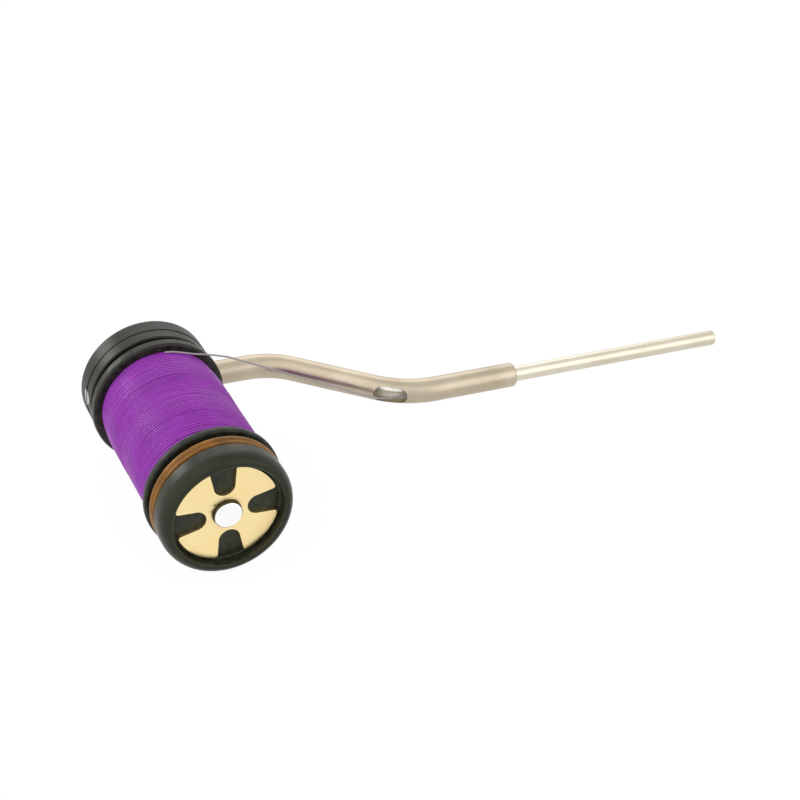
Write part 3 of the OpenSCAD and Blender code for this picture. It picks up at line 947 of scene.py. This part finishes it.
def soften_cut(obj, width):
    """Bevels the sharp edges that a cut left."""
    bm = bmesh.new()
    bm.from_mesh(obj.data)
    bmesh.ops.remove_doubles(bm, verts=bm.verts, dist=CUT_MERGE)
    sharp = [e for e in bm.edges if len(e.link_faces) == 2 and e.calc_face_angle(0) > SHARP]
    bmesh.ops.bevel(bm, geom=sharp, offset=width * MM, segments=2, profile=0.5,
                    affect="EDGES", clamp_overlap=True)
    for face in bm.faces:
        face.smooth = True
    bm.to_mesh(obj.data)
    bm.free()
    return obj


def make_arm():
    arm = tube_piece("bent_arm", arm_line(), ARM_R, ARM_R - ARM_WALL, ARM_END_ROUND, TUBE_STEPS)
    # The inner wall takes the bore finish, whose pale tone is painted light in the slot
    cut(dress(arm, "arm", inside="bore"), slot_cutter())
    return soften_cut(arm, SLOT_SOFT)


def make_nozzle():
    bore = nozzle_bore["dims"]
    start = arm_end - NOZZLE_LET_IN
    end = start + bore["length_mm"]
    run = end - start - 2 * FIRST_RING_IN
    between = [start + FIRST_RING_IN + run * k / NOZZLE_SPANS for k in range(NOZZLE_SPANS + 1)]
    line = [(x, NOZZLE_Y, 0.0) for x in (start, *between, end)]
    return tube_piece("feed_nozzle", line, NOZZLE_R, bore["r_mm"], NOZZLE_END_ROUND, NOZZLE_STEPS)


# Working thread: the route of the construction, taut from the spool to the slot
THREAD_ROUTE = [
    (0.4, 11.2, 10.4), (1.6, 11.2, 10.25), (2.8, 11.1, 10), (4.1, 11.1, 9.6), (5.5, 11, 9.2),
    (7.1, 10.9, 8.9), (9, 10.5, 8.6), (11, 10, 8.2), (14.4, 9, 7), (17.8, 8, 5.8),
    (21.2, 6.9, 4.6), (24.6, 5.9, 3.4), (28, 4.9, 2.2), (31.3, 3.9, 1), (34.4, 3.1, -0.1),
    (36.1, 2.8, -0.5), (38.2, 2.4, -0.5), (40.2, 2.2, -0.3), (42.2, 2.1, -0.1),
    (44.6, 2, 0), (47, 2, 0), (49.4, 2, 0)]
THREAD_D = 0.3


def make_thread_run():
    points = [place(*p) for p in THREAD_ROUTE]
    curve = bpy.data.curves.new("working_thread", "CURVE")
    curve.dimensions = "3D"
    spline = curve.splines.new("POLY")
    spline.points.add(len(points) - 1)
    for point, p in zip(spline.points, points):
        point.co = (*p, 1)
    curve.bevel_depth = THREAD_D / 2 * MM
    curve.bevel_resolution = 3
    curve.use_fill_caps = True
    piece = add_object("working_thread", curve)
    length = sum((b - a).length for a, b in zip(points, points[1:]))
    tuple(points[0])
    return piece


finish_piece(make_thread_run(), "fine_thread", "holder", "thread_run")
finish_piece(make_knob(), "knob", "knob", "front_knob")
finish_piece(make_plate(), "brass", "knob", "brass_plate")
flatten_springs(finish_piece(make_springs(), "fastener", "drag_seat", "disc_springs"))
finish_piece(make_spool(), "spool", "spool_body", "spool")
finish_piece(make_under_layer(), "thread", "spool_body", "thread_core")
finish_piece(make_winding(), "thread", "spool_body", "thread_outer_layer")
finish_piece(make_axle(), "axle", "holder", "axle")
# Arm and nozzle: their inner walls take the bore finish, whose pale tone is painted light
finish_piece(make_arm(), "arm", "holder", "arm_tube", inside="bore")
finish_piece(make_nozzle(), "nozzle", "holder", "nozzle_tube", inside="bore")


# Studio: pale floor, white surround, soft lamps
FLOOR_HALF = 3000
FLOOR_GREY = 0.86
FLOOR_WHITE = 1.04
FLOOR_WHITE_SHARE = 0.93
SURROUND_LIGHT = 0.3
WHITE = (1, 1, 1, 1)
# Name, place, aim and sides in millimetres, and watts
LAMPS = [
    ("key_lamp", (-450, -150, 400), (-30, 0, 8), (1200, 1200), 2.6),
    ("edge_lamp", (-270, 400, 175), (-40, 0, 12), (120, 180), 0.45),
    ("fill_lamp", (350, -400, 260), (0, 0, 8), (500, 500), 0.65),
    ("back_lamp", (120, 450, 300), (0, 0, 8), (500, 400), 0.6),
]


def emptied_net(owner):
    """The node tree of a material or a world, with nothing in it."""
    owner.use_nodes = True
    owner.node_tree.nodes.clear()
    return Net(owner.node_tree)


def studio_seen(net):
    """1 where a ray shows the studio itself: to the camera, in a gloss or through something clear."""
    seen = net.node("ShaderNodeLightPath", out="Is Camera Ray")
    in_gloss = seen.beside("Is Glossy Ray")
    through = seen.beside("Is Transmission Ray")
    return seen.math("MAXIMUM", in_gloss).math("MAXIMUM", through)


def make_floor():
    mesh = bpy.data.meshes.new("floor")
    half = FLOOR_HALF * MM
    corners = [(-half, -half, 0), (half, -half, 0), (half, half, 0), (-half, half, 0)]
    mesh.from_pydata(corners, [], [(0, 1, 2, 3)])
    material = bpy.data.materials.new("pale_floor")
    net = emptied_net(material)
    matt = net.node("ShaderNodeBsdfDiffuse", {"Color": (FLOOR_GREY, FLOOR_GREY, FLOOR_GREY, 1)})
    white = net.node("ShaderNodeEmission", {"Color": WHITE, "Strength": FLOOR_WHITE})
    blend = net.node("ShaderNodeMixShader", {
        0: studio_seen(net) * FLOOR_WHITE_SHARE, 1: matt, 2: white})
    net.node("ShaderNodeOutputMaterial", {"Surface": blend})
    mesh.materials.append(material)
    floor = add_object("floor", mesh)


def make_surround():
    world = bpy.data.worlds.new("surround")
    bpy.context.scene.world = world
    net = emptied_net(world)
    shade = net.node("ShaderNodeBackground", {"Color": WHITE, "Strength": SURROUND_LIGHT})
    white = net.node("ShaderNodeBackground", {"Color": WHITE, "Strength": 1.0})
    blend = net.node("ShaderNodeMixShader", {0: studio_seen(net), 1: shade, 2: white})
    net.node("ShaderNodeOutputWorld", {"Surface": blend})


def make_lamp(name, place_mm, aim_mm, sides_mm, watts):
    data = bpy.data.lights.new(name, "AREA")
    data.shape = "RECTANGLE"
    data.size, data.size_y = (side * MM for side in sides_mm)
    data.energy = watts
    lamp = add_object(name, data)
    here = Vector(place_mm) * MM
    lamp.location = here
    lamp.rotation_euler = (Vector(aim_mm) * MM - here).to_track_quat("-Z", "Y").to_euler()
    lamp.visible_camera = False


make_floor()
make_surround()
for lamp_facts in LAMPS:
    make_lamp(*lamp_facts)

bpy.context.scene.view_settings.view_transform = "Standard"
